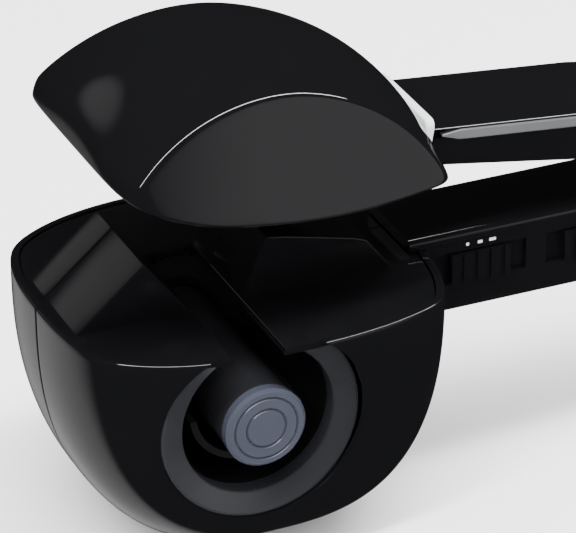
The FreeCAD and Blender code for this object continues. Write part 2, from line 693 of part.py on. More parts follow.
def switches():
    """Three slide switches: a knob with finger ribs that rides in its recess, and its fixed body inside."""
    middle = "(Sizes.recess_low + Sizes.recess_high) / 2"
    names = ("direction_knob", "timer_knob", "heat_knob")
    for number, name in enumerate(names):
        x = knob_slot_centre(number)
        face = "Sizes.recess_depth - Sizes.arm_half_width - 0.2"
        depth = "Sizes.recess_depth - 0.2 + Sizes.knob_proud"
        pad = box("Sizes.knob_length", depth, "Sizes.knob_height", f"{x} - Sizes.knob_length / 2",
                  "-Sizes.arm_half_width - Sizes.knob_proud", f"{middle} - Sizes.knob_height / 2")
        stem_start = f"{x} - Sizes.stem_length / 2"
        stem = box("Sizes.stem_length", 5, "Sizes.stem_height", stem_start, f"{face} - 0.2",
                   f"{middle} - Sizes.stem_height / 2")
        grooves = []
        for step in (-1.5, -0.5, 0.5, 1.5):
            groove_face = "-Sizes.arm_half_width - Sizes.knob_proud - 0.1"
            groove = box(1.8, 0.8, 20, f"{x} + {step * 4.4} - 0.9", groove_face,
                         f"{middle} - 10")
            grooves.append(groove)
        keep(cut(fuse(pad, stem), *grooves), name)
    bodies = []
    for number in range(3):
        x = knob_slot_centre(number)
        bodies.append(box(16, 5, 7, f"{x} - 8", "-Sizes.arm_half_width + 7", f"{middle} - 3.5"))
    keep(fuse(*bodies), "switch_bodies")
    board = box(112, 1.6, 14, "Sizes.recess_first - 2", "-Sizes.arm_half_width + 12.1", f"{middle} - 8")
    keep(board, "circuit_board")
    lens_place = "Sizes.recess_first + 3 * Sizes.recess_pitch"
    keep(cylinder(1.55, 3.4, lens_place, "-Sizes.arm_half_width - 0.3", middle),
         "indicator_lens")
    keep(cylinder(5.0, 4.0, 120, "-Sizes.arm_half_width + 13.8", middle), "buzzer")
    lead_height = "Sizes.swivel_height - 6"
    leads = [cylinder(1.3, 26, "Sizes.arm_end - 34", y, lead_height, ALONG_X) for y in (-2.2, 2.2)]
    keep(fuse(*leads), "mains_leads")


# ---- hinge, interlock and cord swivel -------------------------------------------------------

def hinge():
    keep(cylinder("Sizes.pin_radius - Sizes.run_gap", "2 * Sizes.arm_half_width - 3", "Sizes.hinge_x",
                  "1.5 - Sizes.arm_half_width", "Sizes.hinge_z"), "hinge_pin")
    washers = []
    for y in ("Sizes.knuckle_half + 0.05", "-Sizes.knuckle_half - 0.5"):
        ring = cylinder(5.0, 0.45, "Sizes.hinge_x", y, "Sizes.hinge_z")
        washers.append(cut(ring, hinge_hole("Sizes.pin_radius + 0.1")))
    keep(fuse(*washers), "hinge_washers")

    turns_length = 2 * size("spring_half")
    pitch = 2 * size("wire_radius") + 0.2
    helix = Part.makeHelix(pitch, turns_length - pitch, size("spring_radius"))
    wire_centre = Vector(size("spring_radius"), 0, 0)
    section = Part.Wire(Part.makeCircle(size("wire_radius"), wire_centre, Vector(0, 1, 0)))
    coil = Part.Wire(helix).makePipeShell([section], True, True)
    spring = feature(coil, "coil")
    spring.Placement = Placement(
        Vector(size("hinge_x"), pitch / 2 - size("spring_half"), size("hinge_z")), ALONG_Y
    )
    keep(spring, "hinge_spring")


def cord_swivel():
    body = new_body("swivel")
    radius, flange, bore = size("swivel_radius"), size("swivel_flange"), size("cord_bore")
    tail, nose = size("arm_end"), size("swivel_nose")
    profile = [
        (bore, tail - 6.9), (flange, tail - 6.9), (flange, tail - 3.4),
        (radius, tail - 3.4), (radius, tail + 0.3),
        (flange, tail + 0.3), (flange, tail + 4), (flange - 1.4, tail + 6), (bore + 1.8, nose), (bore, nose),
    ]
    turned(body, [(distance, height - tail) for distance, height in profile])
    body.Placement = Placement(Vector(tail, 0, size("swivel_height")), ALONG_X)
    keep(body, "cord_swivel")


def interlock():
    x, y = "Sizes.lock_x", "Sizes.lock_y"
    deck = "Sizes.rim_height - 0.4"
    stem_low = "Sizes.rim_height - 8.5"
    stem_length = f"{deck} + Sizes.plunger_proud - ({stem_low})"
    keep(cylinder("Sizes.plunger_radius", stem_length, x, y, stem_low, UPRIGHT),
         "interlock_plunger")
    case = box(6, 10, 6, f"{x} - 3", f"{y} - 5", "Sizes.rim_height - 12")
    well = cylinder(f"Sizes.plunger_radius + {FIT}", 30, x, y, "Sizes.rim_height - 11", UPRIGHT)
    keep(cut(case, well), "interlock_switch")


def screws():
    """Pan-head screws up into the lower arm's bottom and the bowl."""
    group = []
    for x in SCREW_PLACES:
        head = cylinder(2.6, 1.2, x, 0, "Sizes.lower_arm_bottom - 1.0", UPRIGHT)
        shank = cylinder(1.19, 7, x, 0, "Sizes.lower_arm_bottom", UPRIGHT)
        group.append(fuse(head, shank))
    keep(fuse(*group), "arm_screws")


# ---- upper jaw --------------------------------------------------------------------------------

def dome():
    rim = dome_rim()
    shell = cut(feature(dome_form(0.0, rim)), feature(dome_form(size("dome_wall"), rim - 5)))
    keep(open_jaw(cut(shell, under_belly(), arm_passage())), "dome_shell")

    ceiling = rim + 20.5
    slab = box(2 * FAR, 2 * FAR, 2.0, -FAR, -FAR, ceiling)
    cover = common(slab, feature(dome_form(size("dome_wall") + FIT, rim - 5)))
    tongue_top = 12.0
    tongue = extruded(
        [(-7.6, rim + 1), (3.2, rim + 1), (7.2, rim + tongue_top), (7.2, ceiling + 0.5), (-17, ceiling + 0.5),
         (-16.5, rim + tongue_top)], "wedge_near", "Sizes.wedge_far - Sizes.wedge_near")
    keep(open_jaw(fuse(cover, tongue)), "dome_inner_cover")
    drop = f"{ceiling} - (Sizes.rim_height - 0.4 + Sizes.plunger_proud - Sizes.plunger_travel + 0.2)"
    striker = cylinder(2.2, drop, "Sizes.lock_x", "Sizes.lock_y", f"{ceiling} - ({drop})", UPRIGHT)
    core = cylinder(0.9, 60, "Sizes.lock_x", "Sizes.lock_y", f"{ceiling} - 40", UPRIGHT)
    keep(open_jaw(cut(striker, core)), "interlock_striker")


def upper_top(x):
    """Height of the upper arm's top edge, closed: it rises as far as a bend and runs level from there."""
    risen = min(x, size("upper_bend")) - size("upper_start")
    return size("upper_under") + size("upper_thin") + size("upper_slope") * risen


def arm_passage():
    """Where the upper arm enters the dome's rear wall."""
    half = size("upper_half_width") + FIT
    start, end = 44.0, 70.0
    low = size("upper_under") - 4
    return feature(Part.makeBox(end - start, 2 * half, upper_top(60) + 0.6 - low, Vector(start, -half, low)))


def side_prism(points, near, far):
    """A prism between two Y positions from an outline in X and Z."""
    corners = [Vector(x, near, z) for x, z in points]
    face = Part.Face(Part.makePolygon(corners + corners[:1]))
    return face.extrude(Vector(0, far - near, 0))


def below_top(start, end, drop):
    """The arm's top edge line between two X places, dropped by a distance."""
    return [(x, upper_top(x) - drop) for x in (start, size("upper_bend"), end)]


def band(start, end, low_drop, high_drop, near, far):
    """A bar that follows the arm's top edge, between two drops below it."""
    points = below_top(start, end, low_drop) + below_top(start, end, high_drop)[::-1]
    return side_prism(points, near, far)


def upper_arm():
    half, start, end = size("upper_half_width"), size("upper_start"), size("upper_end")
    under = size("upper_under")
    trim, depth, crown = size("trim_height"), size("trim_depth"), size("crown_height")
    seam_drop = crown + trim
    inner_start = start + 3
    outline = [(start, under), (end, under)] + below_top(start, end, seam_drop)[::-1]
    outside = side_prism(outline, -half, half)
    lower_edges = [edge for edge in outside.Edges if is_lower_long(edge, under)]
    outside = outside.makeFillet(size("upper_nose"), lower_edges)
    wall = size("arm_wall")
    floor_line = [(inner_start, under + wall), (end - 3, under + wall)]
    hollow_outline = floor_line + below_top(inner_start, end - 3, 0)[::-1]
    hollow = side_prism(hollow_outline, wall - half, half - wall)
    tray = cut(feature(outside), feature(hollow))
    knuckle_half = size("knuckle_half")
    neck_top = upper_top(end) - seam_drop - 0.3
    hinge_x, hinge_z = size("hinge_x"), size("hinge_z")
    neck = side_prism(
        [(end - 2, under + 0.4), (hinge_x, under + 0.4), (hinge_x + 6, hinge_z + 5), (end - 2, neck_top)],
        -knuckle_half, knuckle_half
    )
    disc = cylinder("Sizes.knuckle_radius", "2 * Sizes.knuckle_half", "Sizes.hinge_x", "-Sizes.knuckle_half",
                    "Sizes.hinge_z")
    pin_hole = hinge_hole("Sizes.pin_radius")
    spring_room = cylinder("Sizes.spring_radius + Sizes.wire_radius + 0.4", "2 * Sizes.spring_half + 0.6",
                           "Sizes.hinge_x", "-Sizes.spring_half - 0.3", "Sizes.hinge_z")
    keep(open_jaw(cut(fuse(tray, feature(neck), disc), pin_hole, spring_room)), "upper_arm_shell")

    inner_half = half - depth - 0.1
    lid = band(start, end, seam_drop, 0.0, -inner_half, inner_half)
    wings = band(start, end, crown, 0.0, -half, half)
    lid_whole = lid.fuse(wings).removeSplitter()
    lid_hollow = band(inner_start, end - 3, seam_drop, crown, wall - inner_half, inner_half - wall)
    ridge_edges = [edge for edge in lid_whole.Edges if is_upper_long(edge, half)]
    lid_shape = lid_whole.makeFillet(size("crown_height") - 0.3, ridge_edges).cut(lid_hollow)
    keep(open_jaw(feature(lid_shape)), "upper_arm_cover")
    strips = []
    for side in (-1, 1):
        near, far = sorted((side * half, side * (half - depth)))
        strips.append(feature(band(start + 8, end - 6, seam_drop - 0.1, crown + 0.1, near, far)))
    keep(open_jaw(fuse(*strips)), "arm_trim_strips")


def is_lower_long(edge, height):
    box_of = edge.BoundBox
    return box_of.XLength > 50 and abs(box_of.ZMax - height) < 0.01


def is_upper_long(edge, half):
    """The long outer edges along the top of the upper arm's cover."""
    ends = [vertex.Point for vertex in edge.Vertexes]
    on_top = all(abs(point.z - upper_top(point.x)) < 0.01 for point in ends)
    on_side = all(abs(abs(point.y) - half) < 0.01 for point in ends)
    return on_top and on_side and edge.BoundBox.XLength > 50


def check_and_write():
    doc.recompute()
    broken = [obj.Name for obj in doc.Objects if "Invalid" in obj.State or "Error" in obj.State]
    if broken:
        raise RuntimeError(f"failed objects: {broken}")
    os.makedirs("parts", exist_ok=True)
    for obj in sub_parts:
        shape = obj.Shape
        if shape.isNull() or not shape.isValid() or not shape.Solids:
            raise RuntimeError(f"bad shape: {obj.Label}")
        print(f"{obj.Label:22s} solids {len(shape.Solids)} volume {shape.Volume:9.1f}")
        shape.exportStep(os.path.join("parts", obj.Label + ".step"))


bowl_shells()
guide_covers()
chamber()
barrel()
gear_train()
gearbox()
lower_arm()
lower_lid()
switches()
hinge()
cord_swivel()
interlock()
screws()
dome()
upper_arm()
check_and_write()
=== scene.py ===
import json
import math

import bmesh
import bpy
import numpy as np
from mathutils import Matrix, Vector


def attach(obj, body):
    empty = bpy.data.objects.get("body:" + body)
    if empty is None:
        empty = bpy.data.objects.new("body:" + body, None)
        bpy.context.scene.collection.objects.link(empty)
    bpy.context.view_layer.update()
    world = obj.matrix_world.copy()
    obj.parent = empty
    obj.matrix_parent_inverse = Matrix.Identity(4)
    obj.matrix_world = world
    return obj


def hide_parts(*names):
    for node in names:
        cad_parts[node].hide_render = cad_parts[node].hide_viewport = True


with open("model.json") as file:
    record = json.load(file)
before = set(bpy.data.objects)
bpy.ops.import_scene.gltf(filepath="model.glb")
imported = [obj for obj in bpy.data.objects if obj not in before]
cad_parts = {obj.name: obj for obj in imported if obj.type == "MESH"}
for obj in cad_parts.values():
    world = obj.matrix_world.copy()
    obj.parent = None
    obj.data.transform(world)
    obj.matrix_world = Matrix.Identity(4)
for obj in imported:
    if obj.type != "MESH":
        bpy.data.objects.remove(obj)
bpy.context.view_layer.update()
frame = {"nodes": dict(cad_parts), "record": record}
nodes = frame["nodes"]

MM = 0.001

# ---- camera, floor and light --------------------------------------------------------------

AZIMUTH = math.radians(-24.0)
ELEVATION = math.radians(28.8)
CAMERA_DISTANCE = 1.25
PIXELS_PER_METRE = 3570.0
IMAGE_WIDTH = 576
SENSOR = 36.0


def aim(obj, target):
    direction = Vector(target) - obj.location
    obj.rotation_euler = direction.to_track_quat("-Z", "Y").to_euler()


def make_camera():
    """A long lens at the viewing angle; the target is what lies in the middle of the view."""
    target = Vector((0.0169, -0.025, 0.0859))
    towards = Vector((
        math.sin(AZIMUTH) * math.cos(ELEVATION),
        -math.cos(AZIMUTH) * math.cos(ELEVATION),
        math.sin(ELEVATION),
    ))
    data = bpy.data.cameras.new("camera")
    data.sensor_width = SENSOR
    data.lens = PIXELS_PER_METRE * CAMERA_DISTANCE * SENSOR / IMAGE_WIDTH
    data.clip_end = 20.0
    camera = bpy.data.objects.new("camera", data)
    bpy.context.collection.objects.link(camera)
    camera.location = target + towards * CAMERA_DISTANCE
    aim(camera, target)
    bpy.context.scene.camera = camera


def make_floor():
    mesh = bpy.data.meshes.new("floor")
    half = 4.0
    corners = [(-half, -half, 0), (half, -half, 0), (half, half, 0), (-half, half, 0)]
    mesh.from_pydata(corners, [], [(0, 1, 2, 3)])
    floor = bpy.data.objects.new("floor", mesh)
    bpy.context.collection.objects.link(floor)
    material = bpy.data.materials.new("floor_paint")
    material.use_nodes = True
    shader = material.node_tree.nodes["Principled BSDF"]
    shader.inputs["Base Color"].default_value = (0.93, 0.93, 0.93, 1)
    shader.inputs["Roughness"].default_value = 0.9
    shader.inputs["Specular IOR Level"].default_value = 0.0
    mesh.materials.append(material)
    floor.visible_glossy = False


def area_light(name, place, target, width, height, power):
    data = bpy.data.lights.new(name, "AREA")
    data.shape = "RECTANGLE"
    data.size = width
    data.size_y = height
    data.energy = power
    lamp = bpy.data.objects.new(name, data)
    bpy.context.collection.objects.link(lamp)
    lamp.location = place
    aim(lamp, target)
    return lamp


SURROUND = 2.2
DIM = 0.015  # the level of the dark surround that each patch adds to
# what the gloss mirrors: a direction, the cosines where the soft patch starts and is full, and its level
PATCHES = (
    ((-0.30, 0.60, -0.74), 0.80, 0.95, 0.7),
    ((-0.42, 0.80, 0.43), 0.975, 0.998, 0.45),
    ((0.60, -0.80, 0.04), 0.93, 0.985, 0.8),
)


def make_world():
    """A pale surround, while glossy surfaces mirror a dark one with a few soft patches."""
    world = bpy.data.worlds.new("studio")
    bpy.context.scene.world = world
    world.use_nodes = True
    tree = world.node_tree
    background = tree.nodes["Background"]
    background.inputs["Color"].default_value = (1, 1, 1, 1)
    place = tree.nodes.new("ShaderNodeTexCoord")
    total = None
    for direction, edge, full, level in PATCHES:
        facing = tree.nodes.new("ShaderNodeVectorMath")
        facing.operation = "DOT_PRODUCT"
        facing.inputs[1].default_value = Vector(direction).normalized()
        tree.links.new(place.outputs["Generated"], facing.inputs[0])
        patch = tree.nodes.new("ShaderNodeMapRange")
        patch.interpolation_type = "SMOOTHSTEP"
        patch.inputs["From Min"].default_value = edge
        patch.inputs["From Max"].default_value = full
        patch.inputs["To Min"].default_value = 0.0
        patch.inputs["To Max"].default_value = level
        tree.links.new(facing.outputs["Value"], patch.inputs["Value"])
        added = tree.nodes.new("ShaderNodeMath")
        added.inputs[1].default_value = DIM
        tree.links.new(patch.outputs["Result"], added.inputs[0])
        if total:
            tree.links.new(total, added.inputs[1])
        total = added.outputs["Value"]
    rays = tree.nodes.new("ShaderNodeLightPath")
    level = tree.nodes.new("ShaderNodeMix")
    level.inputs["A"].default_value = SURROUND
    tree.links.new(rays.outputs["Is Glossy Ray"], level.inputs["Factor"])
    tree.links.new(total, level.inputs["B"])
    tree.links.new(level.outputs["Result"], background.inputs["Strength"])


MIDDLE = (0.01, -0.01, 0.06)


def softbox(name, direction, distance, width, height, power, target=MIDDLE):
    """A soft light that stands in a direction from the object."""
    way = Vector(direction).normalized()
    return area_light(name, Vector(target) + way * distance, target, width, height, power)


def make_lights():
    make_world()
    softbox("overhead", (0.05, -0.22, 1.0), 1.0, 2.4, 0.14, 46.0)


# ---- materials ------------------------------------------------------------------------------

def node(tree, kind, **values):
    made = tree.nodes.new(kind)
    for name, value in values.items():
        made.inputs[name.replace("_", " ")].default_value = value
    return made


def material(name, color, roughness, metallic=0.0, coat=0.0, grain=400.0, spread=0.03, bump=0.02, ior=1.5,
             stretch=(1, 1, 1), darker=0.8):
    """A finish with fine mottling in colour and roughness and a slight bump."""
    made = bpy.data.materials.new(name)
    made.use_nodes = True
    tree = made.node_tree
    shader = tree.nodes["Principled BSDF"]
    shader.inputs["Metallic"].default_value = metallic
    shader.inputs["IOR"].default_value = ior
    shader.inputs["Coat Weight"].default_value = coat
    shader.inputs["Coat Roughness"].default_value = 0.03
    place = tree.nodes.new("ShaderNodeTexCoord")
    mapping = tree.nodes.new("ShaderNodeMapping")
    mapping.inputs["Scale"].default_value = stretch
    tree.links.new(place.outputs["Object"], mapping.inputs["Vector"])
    fine = node(tree, "ShaderNodeTexNoise", Scale=grain, Detail=4.0)
    broad = node(tree, "ShaderNodeTexNoise", Scale=grain / 14, Detail=3.0)
    tree.links.new(mapping.outputs["Vector"], fine.inputs["Vector"])
    tree.links.new(mapping.outputs["Vector"], broad.inputs["Vector"])
    tone = tree.nodes.new("ShaderNodeMix")
    tone.data_type = "RGBA"
    tone.inputs["A"].default_value = (*[channel * darker for channel in color], 1)
    tone.inputs["B"].default_value = (*color, 1)
    tree.links.new(broad.outputs["Fac"], tone.inputs["Factor"])
    tree.links.new(tone.outputs["Result"], shader.inputs["Base Color"])
    rough = tree.nodes.new("ShaderNodeMapRange")
    rough.inputs["To Min"].default_value = max(roughness - spread, 0.01)
    rough.inputs["To Max"].default_value = roughness + spread
    tree.links.new(broad.outputs["Fac"], rough.inputs["Value"])
    tree.links.new(rough.outputs["Result"], shader.inputs["Roughness"])
    relief = node(tree, "ShaderNodeBump", Strength=bump, Distance=0.0002)
    tree.links.new(fine.outputs["Fac"], relief.inputs["Height"])
    tree.links.new(relief.outputs["Normal"], shader.inputs["Normal"])
    return made


LOOKS = {
    "black_gloss": material("black_gloss", (0.0035, 0.0035, 0.004), 0.05, grain=900, spread=0.02, bump=0.01),
    "inner_black": material("inner_black", (0.004, 0.004, 0.0045), 0.32, grain=1500, bump=0.1),
    "cap_grey": material("cap_grey", (0.038, 0.042, 0.058), 0.22, coat=0.5, grain=700, spread=0.06,
                         bump=0.05),
    # trim_grey: its grey colour is a painted reflection, standing for the light a chamfer along the upper
    # arm's top edge catches
    "trim_grey": material("trim_grey", (0.12, 0.123, 0.13), 0.38, metallic=0.3, grain=900, bump=0.04),
    "barrel_coat": material("barrel_coat", (0.012, 0.012, 0.014), 0.22, grain=1200, bump=0.05),
    "ceramic": material("ceramic", (0.62, 0.6, 0.55), 0.6, grain=1600, bump=0.25),
    "steel": material("steel", (0.5, 0.5, 0.5), 0.28, metallic=1.0, grain=700, stretch=(1, 8, 1), bump=0.06),
    "brass_gear": material("brass_gear", (0.6, 0.44, 0.18), 0.3, metallic=1.0, grain=900, bump=0.06),
    "gear_plastic": material("gear_plastic", (0.008, 0.008, 0.009), 0.4, grain=1200, bump=0.1),
    "board": material("board", (0.02, 0.12, 0.05), 0.35, grain=500, bump=0.15),
    "lens": material("lens", (0.35, 0.03, 0.02), 0.08, coat=0.6, grain=900, bump=0.02),
    "lead": material("lead", (0.05, 0.05, 0.05), 0.5, grain=900, bump=0.2),
    "swivel_rubber": material("swivel_rubber", (0.01, 0.01, 0.011), 0.5, grain=1400, bump=0.3),
}
# pale collar colour: a painted highlight for the bright edge where the dome meets the upper arm
COLLAR_PAINTED_HIGHLIGHT = material("collar_painted_highlight", (0.72, 0.73, 0.75), 0.35, grain=900, bump=0.04)
# satin black ring whose colour is lifted above the other black parts: a painted sheen for the light the
# ring's lip catches
SHEEN_PAINTED_RING = material("sheen_painted_ring", (0.016, 0.0165, 0.019), 0.26, grain=1100, spread=0.05, bump=0.03)
MARK_PAINT = material("mark_paint", (0.6, 0.6, 0.6), 0.45, grain=2500, bump=0.05)


# ---- mesh helpers -----------------------------------------------------------------------------

def make_piece(name, points, faces, look, body, smooth=35.0):
    """A mesh piece from points in millimetres."""
    mesh = bpy.data.meshes.new(name)
    mesh.from_pydata([tuple(float(value) * MM for value in point) for point in points], [], faces)
    mesh.validate()
    tidy = bmesh.new()
    tidy.from_mesh(mesh)
    bmesh.ops.remove_doubles(tidy, verts=tidy.verts, dist=1e-7)
    bmesh.ops.recalc_face_normals(tidy, faces=tidy.faces)
    tidy.to_mesh(mesh)
    tidy.free()
    obj = bpy.data.objects.new(name, mesh)
    bpy.context.collection.objects.link(obj)
    finish_piece(obj, look, body, smooth)
    return obj


def finish_piece(obj, look, body, smooth=35.0):
    mesh = obj.data
    mesh.materials.clear()
    mesh.materials.append(look)
    mesh.polygons.foreach_set("use_smooth", [True] * len(mesh.polygons))
    mesh.set_sharp_from_angle(angle=math.radians(smooth))
    if body:
        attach(obj, body)


def cut_away(obj, *cutters):
    """Boolean-cut cutters out of a piece, then drop the cutters."""
    for cutter in cutters:
        change = obj.modifiers.new("cut", "BOOLEAN")
        change.operation = "DIFFERENCE"
        change.solver = "EXACT"
        change.object = cutter
    depsgraph = bpy.context.evaluated_depsgraph_get()
    mesh = bpy.data.meshes.new_from_object(obj.evaluated_get(depsgraph))
    obj.modifiers.clear()
    obj.data = mesh
    for cutter in cutters:
        bpy.data.objects.remove(cutter)
    return obj


def cutter_mesh(points, faces):
    mesh = bpy.data.meshes.new("cutter")
    mesh.from_pydata([tuple(float(value) * MM for value in point) for point in points], [], faces)
    work = bmesh.new()
    work.from_mesh(mesh)
    bmesh.ops.recalc_face_normals(work, faces=work.faces)
    work.to_mesh(mesh)
    work.free()
    obj = bpy.data.objects.new("cutter", mesh)
    bpy.context.collection.objects.link(obj)
    return obj


def block_data(low, high):
    points = [(x, y, z) for x in (low[0], high[0]) for y in (low[1], high[1]) for z in (low[2], high[2])]
    faces = [(0, 1, 3, 2), (4, 6, 7, 5), (0, 4, 5, 1), (2, 3, 7, 6), (0, 2, 6, 4), (1, 5, 7, 3)]
    return points, faces


def rod_data(radius, near, far, x, z, steps=128):
    points = []
    for y in (near, far):
        for step in range(steps):
            turn = 2 * math.pi * step / steps
            points.append((x + radius * math.cos(turn), y, z + radius * math.sin(turn)))
    sides = [(step, (step + 1) % steps, steps + (step + 1) % steps, steps + step) for step in range(steps)]
    return points, sides + [tuple(range(steps)), tuple(range(2 * steps - 1, steps - 1, -1))]


def grid_faces(rows, columns, start=0, wrap=False):
    faces = []
    for row in range(rows - 1):
        for column in range(columns if wrap else columns - 1):
            following = (column + 1) % columns
            first = start + row * columns
            above = first + columns
            faces.append((first + column, first + following, above + following, above + column))
    return faces


# ---- lower head -------------------------------------------------------------------------------

AXIS = 50.0
RIM = 75.0
HEAD_X = 6.8
WALL = 2.4
BOWL_POWER = 2.6
ENDS = {"front": (56.3, 2.6, 63.0), "rear": (58.4, 3.0, 77.0)}
END_WIDTH = 60.0
SIDE_WIDTH = 51.5
SIDE_POWER = 2.4
CREASE = 70.0


def oval(along, across, length, width, power):
    return ((np.abs(along) / length) ** power + (np.abs(across) / width) ** power) ** (-1 / power)


def bowl_reach(turns, height, scale, inset):
    """The bowl's outline about its centre at a height."""
    along, across = np.cos(turns), np.sin(turns)
    side = SIDE_WIDTH * (1 - 0.22 * ((RIM - height) / RIM) ** 1.9) - inset
    reach = np.zeros_like(turns)
    for mask, key in ((along > 0, "rear"), (along <= 0, "front")):
        length, power, side_length = ENDS[key]
        end = oval(along[mask], across[mask], length * scale - inset, END_WIDTH * scale - inset, power)
        flank = oval(along[mask], across[mask], side_length - inset, side, SIDE_POWER)
        reach[mask] = (end ** -CREASE + flank ** -CREASE) ** (-1 / CREASE)
    return reach


def bowl_rows(inset, rounding):
    """Heights and outline scales from the rim down to the small flat."""
    depth = RIM + 1.0 - inset
    low = inset
    last = math.asin(((RIM - low) / depth) ** (BOWL_POWER / 2))
    angles = np.linspace(0.0, last, 110)
    rows = [(RIM - depth * math.sin(angle) ** (2 / BOWL_POWER), math.cos(angle) ** (2 / BOWL_POWER))
            for angle in angles]
    if rounding:
        drops = (0.0, 0.08, 0.22, 0.45, 0.8)
        rows = [(RIM - drop, 1.0) for drop in drops] + [row for row in rows if row[0] < RIM - 0.9]
    return rows


SEAM_GAP = 0.1


def half_bowl(name, side, look):
    """One half of the bowl, side -1 near or +1 far, with a rounded rim and a relieved seam."""
    first = np.array([0.1, 0.25, 0.45, 0.7, 1.0, 1.5]) / 55.0
    turns = np.concatenate([first, np.linspace(0.035, math.pi - 0.035, 260), math.pi - first[::-1]])
    turns = turns * side
    columns = len(turns)
    points, faces = [], []
    layers = []
    for inset, rounding in ((0.0, 0.8), (WALL, 0.0)):
        rows = bowl_rows(inset, rounding)
        start = len(points)
        for height, scale in rows:
            reach = bowl_reach(turns, height, scale, inset)
            x, y = reach * np.cos(turns), reach * np.sin(turns)
            if rounding:
                drop = RIM - height
                lip = rounding - math.sqrt(max(rounding ** 2 - max(rounding - drop, 0) ** 2, 0))
                relief = 0.45 * np.clip(1 - np.abs(y) / 0.9, 0, 1) ** 2
                shrink = 1 - (lip + relief) / reach
                x, y = x * shrink, y * shrink
            y = side * np.maximum(np.abs(y), SEAM_GAP)
            points += list(zip(x + HEAD_X, y, np.full(columns, height)))
        points.append((HEAD_X, side * SEAM_GAP, rows[-1][0]))
        layers.append((start, len(rows)))
        faces += grid_faces(len(rows), columns, start)
        last = start + (len(rows) - 1) * columns
        faces += [(last + column, last + column + 1, last + columns) for column in range(columns - 1)]
    (outer, outer_rows), (inner, inner_rows) = layers
    faces += [(outer + column, outer + column + 1, inner + column + 1, inner + column)
              for column in range(columns - 1)]
    for column in (0, columns - 1):
        outline = [outer + row * columns + column for row in range(outer_rows)]
        outline.append(outer + outer_rows * columns)
        inside = [inner + row * columns + column for row in range(inner_rows)]
        inside.append(inner + inner_rows * columns)
        faces += bridge(outline, inside)
    return make_piece(name, points, faces, look, None)


def bridge(first, second):
    """Faces between two strings of points that have different counts."""
    faces = []
    i = j = 0
    while i < len(first) - 1 or j < len(second) - 1:
        ahead = j < len(second) - 1 and (i == len(first) - 1 or (j + 1) / len(second) < (i + 1) / len(first))
        if ahead:
            faces.append((first[i], second[j], second[j + 1]))
            j += 1
        else:
            faces.append((first[i], second[j], first[i + 1]))
            i += 1
    return faces


SLOT_FRONT = -9.9
SLOT_REAR = 5.4
MOUTH_RADIUS = 30.15
RING_TOP = 22.0


def wire_passage():
    """A cutter for the way from the head into the lower arm."""
    return cutter_mesh(*block_data((48, -11, 54), (90, 11, 72)))


def bowl():
    look = LOOKS["black_gloss"]
    near = half_bowl("bowl_near_skin", -1, look)
    slot = cutter_mesh(*block_data((SLOT_FRONT, -90, AXIS), (SLOT_REAR, -20, 90)))
    mouth = cutter_mesh(*rod_data(MOUTH_RADIUS, -90, -20, 0, AXIS))
    cut_away(near, slot, mouth, wire_passage())
    finish_piece(near, look, "lower_body", 30)
    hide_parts("bowl_shell_near")
    far = half_bowl("bowl_far_skin", 1, look)
    cut_away(far, wire_passage())
    finish_piece(far, look, "lower_body", 30)
    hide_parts("bowl_shell_far")


def bezel():
    """The C-shaped ring: a rolled lip and a smooth funnel down to the chamber wall."""
    profile = [(23.0, -38.0), (23.0, -42.3), (23.1, -42.7), (23.35, -42.95), (23.8, -43.1), (26.5, -43.95),
               (29.0, -44.72), (29.4, -44.8), (29.8, -44.65), (30.0, -44.2), (30.0, -38.0)]
    columns = 200
    points = []
    for radius, y in profile:
        right = max(math.asin(SLOT_REAR / radius), math.acos(RING_TOP / radius))
        left = max(math.asin(-SLOT_FRONT / radius), math.acos(RING_TOP / radius))
        for turn in np.linspace(right, 2 * math.pi - left, columns):
            points.append((radius * math.sin(turn), y, AXIS + radius * math.cos(turn)))
    rows = len(profile)
    faces = grid_faces(rows, columns)
    faces += [(column, column + 1, (rows - 1) * columns + column + 1, (rows - 1) * columns + column)
              for column in range(columns - 1)]
    faces.append(tuple(row * columns for row in range(rows)))
    faces.append(tuple(row * columns + columns - 1 for row in reversed(range(rows))))
    # the ring's lifted colour is a painted sheen on satin black plastic
    obj = make_piece("chamber_ring", points, faces, SHEEN_PAINTED_RING, "lower_body", 40)
    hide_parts("chamber_bezel")


# ---- dome ---------------------------------------------------------------------------------------

HINGE = (205.0, 78.0)
OPEN_ANGLE = math.radians(9.6)
DOME_RIM = 75.8
DOME_HALF = 42.6
DOME_X = 6.0
DOME_REAR = 57.2
DOME_FRONT = 48.0
DOME_REAR_POWER = 5.4
DOME_FRONT_POWER = 6.6
SIDE_LEAN = 0.3
SIDE_BULGE = 2.5
ARCH_X = 8.2
ARCH_REAR = 56.0
ARCH_FRONT = 53.3
ARCH_RISE = 41.5
ARCH_CROWN = 11.6
ARCH_POWER = 1.91
BELLY_X = -8.0
BELLY_REAR = 0.0020
BELLY_FRONT = 0.006


def opened(points):
    """Points of the closed upper jaw, swung up to the open rest pose."""
    points = np.asarray(points, dtype=float)
    x, z = points[:, 0] - HINGE[0], points[:, 2] - HINGE[1]
    turned = points.copy()
    turned[:, 0] = HINGE[0] + x * math.cos(OPEN_ANGLE) + z * math.sin(OPEN_ANGLE)
    turned[:, 2] = HINGE[1] - x * math.sin(OPEN_ANGLE) + z * math.cos(OPEN_ANGLE)
    return turned


